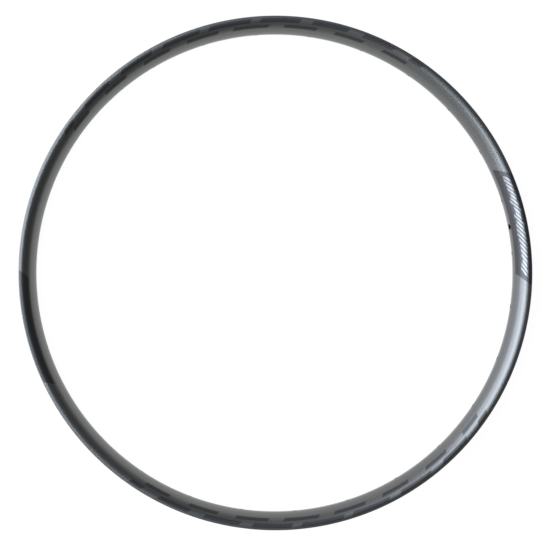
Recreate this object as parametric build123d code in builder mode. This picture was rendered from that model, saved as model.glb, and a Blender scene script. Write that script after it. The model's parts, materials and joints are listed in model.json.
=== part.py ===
from build123d import *

import os
from math import atan2, radians, tan

# A bare mountain-bike rim, moulded in one piece of carbon composite. It is hollow, hookless
# and tubeless, and its spoke bed lies to one side of the middle. The wheel's axis is Z, the
# middle of the width is z = 0, the front faces +Z and the valve hole points along +X.
# The section is drawn as radius (x) against width (y) and turned about Z.

# Tyre side: lips, bead shelves with a hump, and the channel that a bead drops into for fitting
bead_seat_diameter = 622.0
inner_width = 28.0
lip_height = 6.0
lip_width = 2.55
lip_edge_break = 0.5
shelf_width = 3.0
hump_run = 1.0
hump_height = 0.4
channel_depth = 4.2
channel_floor_front = 4.4
channel_floor_rear = 8.5

# Side walls: a narrow flat that the rim lies on, with the wall leaning in above it
side_wall = 3.0
side_flat_drop = 3.4
side_flat_width = 1.0

# Spoke side: a level bed for the nipples, a long curved flank in front and a leaning wall behind
section_depth = 21.6
spoke_bed_offset = 5.65
spoke_bed_width = 5.7
shoulder_round = 13.0
shoulder_sweep = 46.0
front_corner_round = 4.0
rear_corner_round = 4.0
rear_lean = 13.0

# Thickness of the moulded walls around the hollow
tyre_bed_wall = 1.3
shelf_wall = 1.4
flank_wall = 1.2
rear_wall = 1.5
spoke_bed_wall = 3.0

# Drilling: spoke holes step to the front and the rear in turn, with the valve between two of them
spoke_count = 28
spoke_stagger = 0.45
spoke_hole_diameter = 4.5
access_hole_diameter = 6.5
access_hole_offset = 5.0
valve_hole_diameter = 6.5

bead_seat_radius = bead_seat_diameter / 2
lip_radius = bead_seat_radius + lip_height
spoke_bed_radius = lip_radius - section_depth
channel_radius = bead_seat_radius - channel_depth
half_inner = inner_width / 2
half_outer = half_inner + side_wall
side_flat_top = lip_radius - side_flat_drop
side_flat_low = side_flat_top - side_flat_width
hump_foot = half_inner - shelf_width
hump_crest = hump_foot - hump_run
spoke_bed_front = spoke_bed_width / 2 - spoke_bed_offset
rear_foot = (side_flat_low - spoke_bed_radius) * tan(radians(rear_lean))


def tyre_side_half(side, floor_edge):
    """Corners from a side flat up over the lip, along the bead shelf and down to the channel."""
    lip_edge = half_inner + lip_width
    return [
        (side_flat_low, side * half_outer),
        (side_flat_top, side * half_outer),
        (lip_radius - lip_edge_break, side * (lip_edge + 0.3 * lip_edge_break)),
        (lip_radius, side * (lip_edge - lip_edge_break)),
        (lip_radius, side * (half_inner + lip_edge_break)),
        (lip_radius - lip_edge_break, side * half_inner),
        (bead_seat_radius, side * half_inner),
        (bead_seat_radius, side * hump_foot),
        (bead_seat_radius + hump_height, side * hump_crest),
        (channel_radius, side * floor_edge),
    ]


def bed_underside_half(side, floor_edge):
    """Corners of the tyre bed's hidden side, one wall below the shelf and the channel."""
    shelf_under = bead_seat_radius - shelf_wall
    floor_under = channel_radius - tyre_bed_wall
    slope = atan2(channel_depth + hump_height, hump_crest - floor_edge)
    floor_corner = floor_edge + tyre_bed_wall * tan(slope / 2)
    shelf_corner = floor_corner + (shelf_under - floor_under) / tan(slope)
    return [
        (lip_radius, side * half_outer),
        (shelf_under, side * half_outer),
        (shelf_under, side * shelf_corner),
        (floor_under, side * floor_corner),
    ]


def flank_end(shoulder):
    """Where an arc that carries on from the shoulder runs into the circle of the front corner."""
    corner_centre = Vector(spoke_bed_radius + front_corner_round, spoke_bed_front)
    inward = (shoulder % 1).rotate(Axis.Z, 90)
    from_corner = shoulder @ 1 - corner_centre
    gap = front_corner_round + inward.dot(from_corner)
    flank_round = (front_corner_round**2 - from_corner.dot(from_corner)) / (2 * gap)
    flank_centre = shoulder @ 1 + inward * flank_round
    reach = flank_round / (flank_round - front_corner_round)
    return flank_centre + (corner_centre - flank_centre) * reach


def inside(curve, share):
    """The point one flank wall inside a curve of the front, at a share of the way along it."""
    return curve @ share + (curve % share).rotate(Axis.Z, 90) * flank_wall


with BuildLine() as spoke_side:
    shoulder = JernArc((side_flat_low, half_outer), (-1, 0), shoulder_round, shoulder_sweep)
    flank = TangentArc(shoulder @ 1, flank_end(shoulder), tangent=shoulder % 1)
    bed_start = (spoke_bed_radius, spoke_bed_front)
    TangentArc(flank @ 1, bed_start, tangent=flank % 1)
    rear_corner = (spoke_bed_radius, rear_foot - half_outer)
    rear_flat_end = (side_flat_low, -half_outer)
    FilletPolyline(bed_start, rear_corner, rear_flat_end, radius=rear_corner_round)

spokes_per_side = spoke_count // 2
half_pitch = 180 / spoke_count

with BuildSketch(Plane.XZ) as hollow:
    front = [inside(shoulder, share) for share in (0, 0.5, 1)]
    front += [inside(flank, share) for share in (0.5, 1)]
    rear_top = (side_flat_low, rear_wall - half_outer)
    rear_low = (spoke_bed_radius, rear_foot + rear_wall - half_outer)
    Polygon(*front, rear_low, rear_top, align=None)
    front = bed_underside_half(1, channel_floor_front)
    rear = bed_underside_half(-1, channel_floor_rear)
    Polygon(*front, *rear[::-1], align=None, mode=Mode.SUBTRACT)
    with Locations((spoke_bed_radius, 0)):
        Rectangle(2 * spoke_bed_wall, 2 * half_outer, mode=Mode.SUBTRACT)

with BuildPart() as rim:
    with BuildSketch(Plane.XZ):
        with BuildLine():
            front = tyre_side_half(1, channel_floor_front)
            rear = tyre_side_half(-1, channel_floor_rear)
            Polyline(*front, *rear[::-1])
            add(spoke_side.line)
        make_face()
        add(hollow.sketch, mode=Mode.SUBTRACT)
    revolve(axis=Axis.Z)

    # Each spoke has a hole in the spoke bed, and a wider one in the tyre bed to reach it by
    for side in (1, -1):
        bed_point = (spoke_bed_radius, 0, side * spoke_stagger - spoke_bed_offset)
        channel_point = (channel_radius, 0, -access_hole_offset)
        with PolarLocations(0, spokes_per_side, start_angle=side * half_pitch):
            with Locations(Plane(bed_point, z_dir=(1, 0, 0)).location):
                Cylinder(spoke_hole_diameter / 2, 3 * spoke_bed_wall, mode=Mode.SUBTRACT)
            with Locations(Plane(channel_point, z_dir=(1, 0, 0)).location):
                Cylinder(access_hole_diameter / 2, channel_depth, mode=Mode.SUBTRACT)

    # The valve hole runs straight through both beds on the middle of the width
    with Locations(Plane((spoke_bed_radius, 0, 0), z_dir=(1, 0, 0)).location):
        Cylinder(valve_hole_diameter / 2, 2 * section_depth, mode=Mode.SUBTRACT)

os.makedirs("parts", exist_ok=True)
rim.part.label = "rim"
export_step(rim.part, "parts/rim.step")
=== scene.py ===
import json
from math import atan2, cos, degrees, pi, radians, sin, tan

import bmesh
import bpy
from mathutils import Matrix, Vector


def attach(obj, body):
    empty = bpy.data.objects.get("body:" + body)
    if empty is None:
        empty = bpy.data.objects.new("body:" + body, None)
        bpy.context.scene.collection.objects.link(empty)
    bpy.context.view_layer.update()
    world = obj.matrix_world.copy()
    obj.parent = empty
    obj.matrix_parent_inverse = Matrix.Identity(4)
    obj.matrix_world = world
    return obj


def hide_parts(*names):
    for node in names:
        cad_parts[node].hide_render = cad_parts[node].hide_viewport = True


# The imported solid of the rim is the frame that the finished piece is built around.
# Its record says where the valve hole and the spoke holes are drilled.
scene = bpy.context.scene
scene.view_settings.view_transform = "Standard"
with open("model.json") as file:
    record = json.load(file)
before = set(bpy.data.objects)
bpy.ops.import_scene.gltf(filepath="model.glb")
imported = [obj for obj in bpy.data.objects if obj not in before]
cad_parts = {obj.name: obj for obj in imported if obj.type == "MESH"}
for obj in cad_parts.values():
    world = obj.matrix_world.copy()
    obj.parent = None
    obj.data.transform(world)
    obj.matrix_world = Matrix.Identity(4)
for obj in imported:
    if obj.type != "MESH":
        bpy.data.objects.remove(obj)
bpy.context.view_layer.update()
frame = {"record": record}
mounts = {mount["name"]: Vector(mount["pos_m"]) for mount in frame["record"]["mounts"]}

# The rim is one hollow moulding of carbon composite, pressed in a closed mould, so its section
# has soft edges all round: lips, bead shelves with humps, a fitting channel, narrow side flats,
# a long front flank, a level spoke bed and a leaning rear wall. Lengths here are millimetres.
MM = 0.001
bead_seat_radius = 311.0
bead_seat_round = 0.8
lip_radius = 317.0
lip_edge = 16.67
lip_round = 0.6
half_inner = 14.0
half_outer = 17.0
side_flat_top = 313.6
side_flat_low = 312.6
side_flat_round = 8.0
hump_foot = 11.0
hump_foot_round = 2.0
hump_crest = 10.0
hump_height = 0.4
hump_round = 0.6
channel_radius = 306.8
channel_front = 4.4
channel_rear = 8.5
channel_round = 1.2
spoke_bed_radius = 295.4
spoke_bed_front = -2.8
shoulder_round = 13.0
shoulder_sweep = radians(46)
front_corner_round = 4.0
rear_corner_round = 4.0
rear_lean = radians(13)
rear_foot = (side_flat_low - spoke_bed_radius) * tan(rear_lean) - half_outer
turn_steps = 448
facet_turn = 14
facet_round = 8
merge_gap = 0.02


def tyre_side(side, channel_edge):
    """Corners from a side flat over the lip and down to the channel, each with its round."""
    return [
        (side_flat_low, side * half_outer, 0),
        (side_flat_top, side * half_outer, side_flat_round),
        (lip_radius, side * lip_edge, lip_round),
        (lip_radius, side * half_inner, lip_round),
        (bead_seat_radius, side * half_inner, bead_seat_round),
        (bead_seat_radius, side * hump_foot, hump_foot_round),
        (bead_seat_radius + hump_height, side * hump_crest, hump_round),
        (channel_radius, side * channel_edge, channel_round),
    ]


def spoke_side():
    """Corners from the front shoulder to the rear wall, with rounds that run into each other."""
    ahead = Vector((-cos(shoulder_sweep), -sin(shoulder_sweep)))
    inward = Vector((sin(shoulder_sweep), -cos(shoulder_sweep)))
    shoulder_end = Vector((side_flat_low, half_outer - shoulder_round)) - inward * shoulder_round
    corner_centre = Vector((spoke_bed_radius + front_corner_round, spoke_bed_front))
    apart = shoulder_end - corner_centre
    gap = front_corner_round + inward.dot(apart)
    flank_round = (front_corner_round**2 - apart.dot(apart)) / (2 * gap)
    to_corner = corner_centre - shoulder_end - inward * flank_round
    flank_tilt = atan2(to_corner.y, to_corner.x) - pi / 2
    shoulder_corner = shoulder_end - ahead * shoulder_round * tan(shoulder_sweep / 2)
    flank_corner = shoulder_end + ahead * flank_round * tan((flank_tilt - shoulder_sweep) / 2)
    bed_corner = spoke_bed_front + front_corner_round * tan((pi / 2 - flank_tilt) / 2)
    return [
        (*shoulder_corner, shoulder_round),
        (*flank_corner, flank_round),
        (spoke_bed_radius, bed_corner, front_corner_round),
        (spoke_bed_radius, rear_foot, rear_corner_round),
    ]


def turned(name, corners):
    """A section spun about the wheel's axis, with each of its corners bevelled to its round."""
    bm = bmesh.new()
    verts = [bm.verts.new((r * MM, 0, z * MM)) for r, z, _ in corners]
    bm.faces.new(verts)
    for i, vert in enumerate(verts):
        corner_round = corners[i][2]
        here = Vector(corners[i][:2])
        back = Vector(corners[i - 1][:2]) - here
        ahead = Vector(corners[(i + 1) % len(corners)][:2]) - here
        turn = pi - back.angle(ahead)
        if corner_round:
            bmesh.ops.bevel(
                bm,
                geom=[vert],
                affect="VERTICES",
                offset=corner_round * tan(turn / 2) * MM,
                offset_type="OFFSET",
                segments=max(2, round(degrees(turn) / facet_turn + corner_round / facet_round)),
                profile=0.5,
                material=-1,
                clamp_overlap=False,
            )
    bmesh.ops.delete(bm, geom=bm.faces[:], context="FACES_ONLY")
    bmesh.ops.remove_doubles(bm, verts=bm.verts, dist=merge_gap * MM)
    bmesh.ops.spin(
        bm,
        geom=bm.edges[:],
        cent=(0, 0, 0),
        axis=(0, 0, 1),
        angle=2 * pi,
        steps=turn_steps,
        use_merge=True,
    )
    # Half a step on, so that every hole is drilled into the middle of a facet
    half_step = Matrix.Rotation(pi / turn_steps, 3, "Z")
    bmesh.ops.rotate(bm, verts=bm.verts, cent=(0, 0, 0), matrix=half_step)
    bmesh.ops.recalc_face_normals(bm, faces=bm.faces)
    mesh = bpy.data.meshes.new(name)
    bm.to_mesh(mesh)
    bm.free()
    return bpy.data.objects.new(name, mesh)


front_tyre_side = tyre_side(1, channel_front)
rear_tyre_side = tyre_side(-1, channel_rear)
rim = turned("rim_shell", front_tyre_side[::-1] + spoke_side() + rear_tyre_side)
scene.collection.objects.link(rim)

# The hollow inside is a plain ring of the same shape, one wall in from the outside. Spoke
# holes, access holes and the valve hole are drilled into it after moulding, from both beds.
shelf_inside = 309.6
channel_inside = 305.5
spoke_bed_inside = 298.4
hollow_section = [
    (shelf_inside, 15.2),
    (308.0, 14.9),
    (304.1, 12.2),
    (299.3, 5.5),
    (spoke_bed_inside, 2.8),
    (spoke_bed_inside, -12.2),
    (shelf_inside, -14.8),
    (shelf_inside, -10.8),
    (channel_inside, -9.5),
    (channel_inside, 4.9),
    (shelf_inside, 9.9),
]
spoke_hole_radius = 2.25
access_hole_radius = 3.25
access_line = -5.0
valve_hole_radius = 3.25
below_spoke_bed = 290.0
over_spoke_bed = 300.0
below_tyre_bed = 304.0
over_tyre_bed = 309.0
hole_sides = 40
sharp_turn = radians(32)


def drill(bm, hole_radius, hole_place, reach_in, reach_out):
    """Adds a drill to a bmesh: a rod along a spoke, between two distances from the axis."""
    outward = Vector((hole_place.x, hole_place.y, 0)).normalized()
    middle = outward * (reach_in + reach_out) / 2 * MM + Vector((0, 0, hole_place.z))
    turn = outward.to_track_quat("Z", "Y").to_matrix().to_4x4()
    bmesh.ops.create_cone(
        bm,
        cap_ends=True,
        segments=hole_sides,
        radius1=hole_radius * MM,
        radius2=hole_radius * MM,
        depth=(reach_out - reach_in) * MM,
        matrix=Matrix.Translation(middle) @ turn,
    )


bm = bmesh.new()
hollow = turned("rim_hollow", [(r, z, 0) for r, z in hollow_section])
bm.from_mesh(hollow.data)
for mount, hole_place in mounts.items():
    if mount.startswith("spoke_hole"):
        drill(bm, spoke_hole_radius, hole_place, below_spoke_bed, over_spoke_bed)
        access_place = Vector((hole_place.x, hole_place.y, access_line * MM))
        drill(bm, access_hole_radius, access_place, below_tyre_bed, over_tyre_bed)
    elif mount == "valve_hole":
        drill(bm, valve_hole_radius, hole_place, below_spoke_bed, over_tyre_bed)
cutter_mesh = bpy.data.meshes.new("rim_cutter")
bm.to_mesh(cutter_mesh)
bm.free()
cutter = bpy.data.objects.new("rim_cutter", cutter_mesh)
scene.collection.objects.link(cutter)

cut = rim.modifiers.new("drilling", "BOOLEAN")
cut.operation = "DIFFERENCE"
cut.solver = "EXACT"
cut.use_self = True
cut.object = cutter
rim_cut = rim.evaluated_get(bpy.context.evaluated_depsgraph_get())
drilled_mesh = bpy.data.meshes.new_from_object(rim_cut)
rim.modifiers.clear()
rim.data = drilled_mesh
for spare in (cutter, hollow):
    bpy.data.objects.remove(spare)
rim.data.shade_smooth()
rim.data.set_sharp_from_angle(angle=sharp_turn)
# Flat strips keep their own shading beside the soft edges
even = rim.modifiers.new("even_faces", "WEIGHTED_NORMAL")
even.keep_sharp = True


# The moulding is lacquered satin over dark grey composite with a faint run of fibres along the
# rim. A darker print lies under the lacquer on both sides: rows of slanted bars at the two
# quarters, and black bands at the valve hole, with fine silver strokes, and across from it.
class Socket:
    """A shader socket in Python arithmetic: each operator adds a Math node."""

    def __init__(self, tree, output=None):
        self.tree = tree
        self.output = output

    def node(self, kind, inputs=None, output=0, **settings):
        """Adds a node of a kind with its settings and inputs, and returns one of its outputs."""
        made = self.tree.nodes.new("ShaderNode" + kind)
        for name, value in settings.items():
            setattr(made, name, value)
        for name, value in (inputs or {}).items():
            if isinstance(value, Socket):
                self.tree.links.new(value.output, made.inputs[name])
            else:
                made.inputs[name].default_value = value
        return Socket(self.tree, made.outputs[output] if made.outputs else None)

    def math(self, operation, *values):
        return self.node("Math", dict(enumerate(values)), operation=operation)

    def __add__(self, other):
        return self.math("ADD", self, other)

    def __sub__(self, other):
        return self.math("SUBTRACT", self, other)

    def __rsub__(self, other):
        return self.math("SUBTRACT", other, self)

    def __mul__(self, other):
        return self.math("MULTIPLY", self, other)

    def __truediv__(self, other):
        return self.math("DIVIDE", self, other)

    def __abs__(self):
        return self.math("ABSOLUTE", self)

    __radd__ = __add__
    __rmul__ = __mul__

    def over(self, edge, soft):
        """1 where the value is over an edge, 0 under it, with a soft step between."""
        limits = {"Value": self, "From Min": edge - soft, "From Max": edge + soft}
        return self.node("MapRange", limits, interpolation_type="SMOOTHSTEP")

    def within(self, low, high, soft):
        """1 between two edges and 0 outside them."""
        return self.over(low, soft) * (1 - self.over(high, soft))

    def mixed(self, other, share):
        """This colour with a share of another over it."""
        colours = {"Factor": share, "A": self, "B": other}
        return self.node("Mix", colours, output=1, data_type="VECTOR")


body_colour = (0.065, 0.067, 0.067)
print_colour = (0.043, 0.043, 0.046)
stroke_colour = (0.15, 0.154, 0.160)
# Near black for the holes: bare laminate darkened further with painted shade
bare_and_shaded_hole_colour = (0.006, 0.006, 0.006)
print_edge = 0.15
print_line = 308.0
slant = 0.75

lacquer = bpy.data.materials.new("lacquered_composite")
lacquer.use_nodes = True
lacquer.node_tree.nodes.clear()
start = Socket(lacquer.node_tree)
place = start.node("TexCoord", output="Object")
x, y, z = (start.node("SeparateXYZ", {0: place}, output=axis) for axis in "XYZ")
radius = start.math("SQRT", x * x + y * y) / MM
angle = start.math("ARCTAN2", y, x)
lean = slant * (radius - print_line)

# Slanted bars in two rows, slimmer towards the ends of each group
bar_pitch = 62.0
bar_taper = 0.03
group_half = 247.0
upper_bar_half = 0.42
upper_row = (309.0, 314.2)
lower_bar_half = 0.36
lower_row = (302.4, 306.2)


def bar_row(count, bar_half, low, high):
    """A row of bars between two radii, one at each whole number of a count along the rim."""
    number = start.math("ROUND", count)
    past_bar = abs(count - number) - (bar_half - bar_taper * abs(number))
    row = 1 - past_bar.over(0, print_edge / bar_pitch)
    return row * radius.within(low, high, print_edge)


quarter = start.math("WRAP", angle - pi / 2, pi / 2, -pi / 2) * print_line + lean
bar_count = quarter / bar_pitch
rows = bar_row(bar_count, upper_bar_half, *upper_row)
rows = rows + bar_row(bar_count + 0.5, lower_bar_half, *lower_row)
bars = rows * (1 - abs(quarter).over(group_half, print_edge))

# The black bands: the one at the valve reaches further in, the other starts further round
band_half = 69.0
band_top = 316.0
band_low = 304.5
valve_band_drop = 7.1
far_band_shift = 11.5
by_valve = x.over(0, 0.01)
across = start.math("WRAP", angle, pi / 2, -pi / 2) * print_line + lean
across = across - far_band_shift * (1 - by_valve)
band = (1 - abs(across).over(band_half, print_edge)) * (1 - radius.over(band_top, print_edge))
band = band * (radius - (band_low - valve_band_drop * by_valve)).over(0, print_edge)

# Silver strokes of uneven width and length on the valve's band
stroke_pitch = 6.0
stroke_slant = 0.12
stroke_half = 0.26
stroke_half_spread = 0.12
stroke_edge = 0.1
stroke_low = 302.8
stroke_low_spread = 3.0
stroke_top = 312.6
stroke_top_spread = 2.0
stroke_margin = 7.0
stroke_count = across / stroke_pitch + stroke_slant * (radius - print_line)
stroke_number = start.math("ROUND", stroke_count)
uneven = start.node("TexWhiteNoise", {"W": stroke_number}, output="Value", noise_dimensions="1D")
past_stroke = abs(stroke_count - stroke_number) - stroke_half - stroke_half_spread * uneven
stroke = 1 - past_stroke.over(0, stroke_edge)
stroke = stroke * (radius - stroke_low - stroke_low_spread * uneven).over(0, print_edge)
stroke = stroke * (stroke_top - stroke_top_spread * uneven - radius).over(0, print_edge)
strokes = stroke * (1 - abs(across).over(band_half - stroke_margin, print_edge)) * by_valve

# Only the outsides are printed: the tyre side lies between the lips
lip_inside = 14.4
tyre_bed_line = 306.4
mask_edge = 0.1
on_sides = (abs(z) / MM).over(lip_inside, mask_edge)
outside = start.math("MAXIMUM", on_sides, 1 - radius.over(tyre_bed_line, mask_edge))
printed = start.math("MAXIMUM", bars * outside, band * outside)
strokes = strokes * outside

# Bare dark laminate shows in the drilled holes and just round them. It is painted near black and
# unlacquered: partly its own colour, partly painted shade that makes the holes read dark
valve_mark = 3.5
valve_mark_top = 308.0
spoke_mark = 2.8
spoke_mark_top = 300.0
same_row_turn = 2 * pi / sum(mount.startswith("spoke_hole_front") for mount in mounts)
bare_and_shaded_holes = 1 - start.math("SQRT", y * y + z * z).over(valve_mark * MM, mask_edge * MM)
bare_and_shaded_holes = bare_and_shaded_holes * by_valve * (1 - radius.over(valve_mark_top, mask_edge))
for first in (mounts["spoke_hole_front_01"], mounts["spoke_hole_rear_01"]):
    from_first = angle - atan2(first.y, first.x)
    around = start.math("WRAP", from_first, same_row_turn / 2, -same_row_turn / 2) * radius
    sideways = (z - first.z) / MM
    hole = 1 - start.math("SQRT", around * around + sideways * sideways).over(spoke_mark, mask_edge)
    bare_and_shaded_holes = start.math("MAXIMUM", bare_and_shaded_holes, hole * (1 - radius.over(spoke_mark_top, mask_edge)))

# Fibres run round the rim, so they show as long faint streaks
streaks_per_radian = 12
streaks_per_mm = 0.5
streak_place = start.node(
    "CombineXYZ",
    {
        "X": angle * streaks_per_radian,
        "Y": radius * streaks_per_mm,
        "Z": z / MM * streaks_per_mm,
    },
)
streak = start.node("TexNoise", {"Vector": streak_place, "Scale": 1.0, "Detail": 3.0})
fibre_tone = 0.92 + 0.16 * streak

# The lacquer shines less over the print, apart from its strokes, and is missing in the holes, whose
# near-black colour is partly painted shade
print_dulls_coat = 0.7
body = start.node("VectorMath", {0: body_colour, 1: fibre_tone}, operation="MULTIPLY")
# The holes get their near-black colour here: bare laminate plus painted shade
colour = body.mixed(print_colour, printed).mixed(stroke_colour, strokes).mixed(bare_and_shaded_hole_colour, bare_and_shaded_holes)
coat = (1 - print_dulls_coat * printed + print_dulls_coat * strokes) * (1 - bare_and_shaded_holes)
surface = start.node(
    "BsdfPrincipled",
    {
        "Base Color": colour,
        "Metallic": 0.95,
        "Roughness": 0.44 + 0.04 * streak - 0.03 * printed,
        "Coat Weight": coat,
        "Coat Roughness": 0.28,
        "Coat IOR": 1.75,
    },
)
start.node("OutputMaterial", {"Surface": surface})
rim.data.materials.clear()
rim.data.materials.append(lacquer)
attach(rim, "root")
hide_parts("rim")

# The rim lies on a white studio floor, on the flat of its rear side. The floor is a plain
# sheet, lit up for the camera and for reflections so that it stays white. It is matt from
# above and has a slight sheen at a low angle.
floor_half = 6
floor_level = -half_outer * MM
matt_colour = (0.04, 0.04, 0.04, 1)
sheen_colour = (0.55, 0.55, 0.55, 1)
seen_white = 0.975
reflected_white = 0.83

bm = bmesh.new()
bmesh.ops.create_grid(bm, x_segments=1, y_segments=1, size=floor_half)
bmesh.ops.translate(bm, verts=bm.verts, vec=(0, 0, floor_level))
floor_mesh = bpy.data.meshes.new("floor")
bm.to_mesh(floor_mesh)
bm.free()
floor = bpy.data.objects.new("floor", floor_mesh)
scene.collection.objects.link(floor)
paper = bpy.data.materials.new("white_paper")
paper.use_nodes = True
paper.node_tree.nodes.clear()
start = Socket(paper.node_tree)
seen = start.node("LightPath", output="Is Camera Ray")
reflected = start.node("LightPath", output="Is Glossy Ray")
reflected = start.math("MAXIMUM", reflected, start.node("LightPath", output="Is Transmission Ray"))
white = seen_white * seen + reflected_white * reflected
matt = start.node("BsdfDiffuse", {"Color": matt_colour})
glow = start.node("Emission", {"Color": (1, 1, 1, 1), "Strength": white})
sheet = start.node("AddShader", {0: matt, 1: glow})
sheen = start.node("BsdfGlossy", {"Color": sheen_colour, "Roughness": 0.2})
low_angle = start.node("Fresnel", {"IOR": 1.45})
sheen = start.node("MixShader", {0: low_angle, 2: sheen})
start.node("OutputMaterial", {"Surface": start.node("AddShader", {0: sheet, 1: sheen})})
floor.data.materials.append(paper)

# The studio round the rim has pale walls, a little brighter on the left, and is dark
# overhead, where the camera stands.
sky_colour = (1, 0.99, 0.97, 1)
overhead_light = 0.06
wall_light = 0.64
wall_fall = 0.25
wall_top = 0.64
wall_edge = 0.38

studio = bpy.data.worlds.new("studio")
scene.world = studio
studio.use_nodes = True
studio.node_tree.nodes.clear()
start = Socket(studio.node_tree)
sky = start.node("TexCoord", output="Generated")
sky_x, sky_y, sky_up = (start.node("SeparateXYZ", {0: sky}, output=axis) for axis in "XYZ")
to_right = 0.95 * sky_x - 0.3 * sky_y
walls = 1 - (sky_up + wall_fall * to_right).over(wall_top, wall_edge)
brightness = overhead_light + (wall_light - wall_fall * to_right) * walls
sky_light = start.node("Background", {"Color": sky_colour, "Strength": brightness})
start.node("OutputWorld", {"Surface": sky_light})

# A large soft box stands far off on the left, and under it a weaker panel that reaches down to
# the floor. Both are cool white, and face the rim. Each has its width, height, power and tint.
softboxes = [
    ("softbox", 14.5, 10.2, 3600, (0.82, 0.905, 1), Vector((-8.8, 1.6, 15.6))),
    ("panel", 24.0, 17.2, 4900, (0.79, 0.86, 1), Vector((-16.8, 3.0, 5.7))),
]
valve_turn = radians(11.15)
to_scene = Matrix.Rotation(-valve_turn, 4, "Z")
for name, softbox_width, softbox_height, power, tint, softbox_place in softboxes:
    lamp = bpy.data.lights.new(name, "AREA")
    lamp.shape = "RECTANGLE"
    lamp.size = softbox_width
    lamp.size_y = softbox_height
    lamp.energy = power
    lamp.color = tint
    softbox = bpy.data.objects.new(name, lamp)
    scene.collection.objects.link(softbox)
    lamp_place = to_scene @ softbox_place
    lamp_turn = lamp_place.to_track_quat("Z", "Y").to_matrix().to_4x4()
    softbox.matrix_world = Matrix.Translation(lamp_place) @ lamp_turn

# The camera looks almost straight down, from a little to the left of the wheel's axis. It is
# turned about that axis, so that the valve hole lies on the right and slightly up.
camera_height = 3.9
camera_left = tan(radians(3.1))
camera_up = 0.003
aim = Vector((-0.001, -0.0025, 0))
focal_pixels = 3158
image_pixels = 550
camera_data = bpy.data.cameras.new("camera")
camera_data.sensor_width = 36
camera_data.lens = focal_pixels * camera_data.sensor_width / image_pixels
camera = bpy.data.objects.new("camera", camera_data)
scene.collection.objects.link(camera)
eye = Vector((-camera_left * camera_height, camera_up, camera_height))
back = (eye - aim).normalized()
right = Vector((0, 1, 0)).cross(back).normalized()
axes = Matrix((right, back.cross(right), back)).transposed().to_4x4()
camera.matrix_world = to_scene @ Matrix.Translation(eye) @ axes
scene.camera = camera
